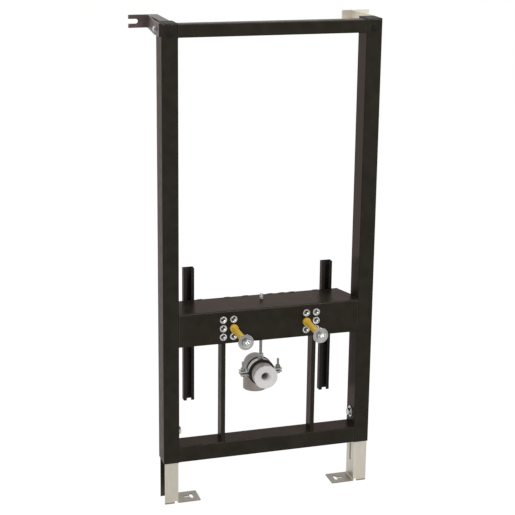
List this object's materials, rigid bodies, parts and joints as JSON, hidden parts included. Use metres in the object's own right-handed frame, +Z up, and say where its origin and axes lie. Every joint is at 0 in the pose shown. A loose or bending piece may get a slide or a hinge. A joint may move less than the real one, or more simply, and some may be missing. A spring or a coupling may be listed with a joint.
{
  "type": "bidet installation frame",
  "caption": "Floor-to-wall steel frame that carries a wall-hung bidet: two uprights on telescoping feet, a folded fixture beam with studs, and a clamped waste elbow.",
  "frame": {"origin": "middle of the left wall plate's rear face", "axes": "+X to the right seen from the front, +Y towards the wall, +Z up"},
  "size_m": [0.59, 0.304, 1.15],
  "materials": {
    "black_coat": "semi-gloss powder coat",
    "zinc_steel": "satin zinc plate",
    "bright_zinc": "bright plate",
    "yellow_plastic": "matte",
    "black_plastic": "matte",
    "black_rubber": "matte",
    "white_rubber": "satin",
    "grey_pipe": "satin"
  },
  "bodies": {
    "frame": {"left_upright": "black_coat", "right_upright": "black_coat", "top_rail": "black_coat", "bottom_rail": "black_coat", "fixture_beam": "black_coat", "left_bosses": "bright_zinc", "right_bosses": "bright_zinc", "left_stud": "bright_zinc", "right_stud": "bright_zinc", "left_sleeve": "yellow_plastic", "right_sleeve": "yellow_plastic", "left_washer": "bright_zinc", "right_washer": "bright_zinc", "left_nut": "bright_zinc", "right_nut": "bright_zinc", "left_strut": "black_coat", "right_strut": "black_coat", "left_pipe_rail": "black_coat", "right_pipe_rail": "black_coat", "rail_bolts": "zinc_steel", "left_foot_bolt": "zinc_steel", "right_foot_bolt": "zinc_steel", "left_bracket": "zinc_steel", "right_bracket": "zinc_steel", "left_bracket_bolt": "bright_zinc", "right_bracket_bolt": "bright_zinc", "left_end_cap": "black_plastic", "right_end_cap": "black_plastic", "left_plug": "black_plastic", "right_plug": "black_plastic", "clamp_rod": "zinc_steel", "rod_nuts": "zinc_steel", "clamp_upper": "zinc_steel", "clamp_lower": "zinc_steel", "clamp_lining": "black_rubber", "clamp_screws": "bright_zinc", "waste_elbow": "grey_pipe", "waste_seal": "white_rubber"},
    "left_foot_body": {"left_foot": "zinc_steel"},
    "right_foot_body": {"right_foot": "zinc_steel"}
  },
  "joints": [
    {"name": "left_foot_slide", "type": "slide", "parent": "frame", "child": "left_foot_body", "axis": [0, 0, -1], "range_m": [-0.09, 0.1]},
    {"name": "right_foot_slide", "type": "slide", "parent": "frame", "child": "right_foot_body", "axis": [0, 0, -1], "range_m": [-0.09, 0.1]}
  ]
}
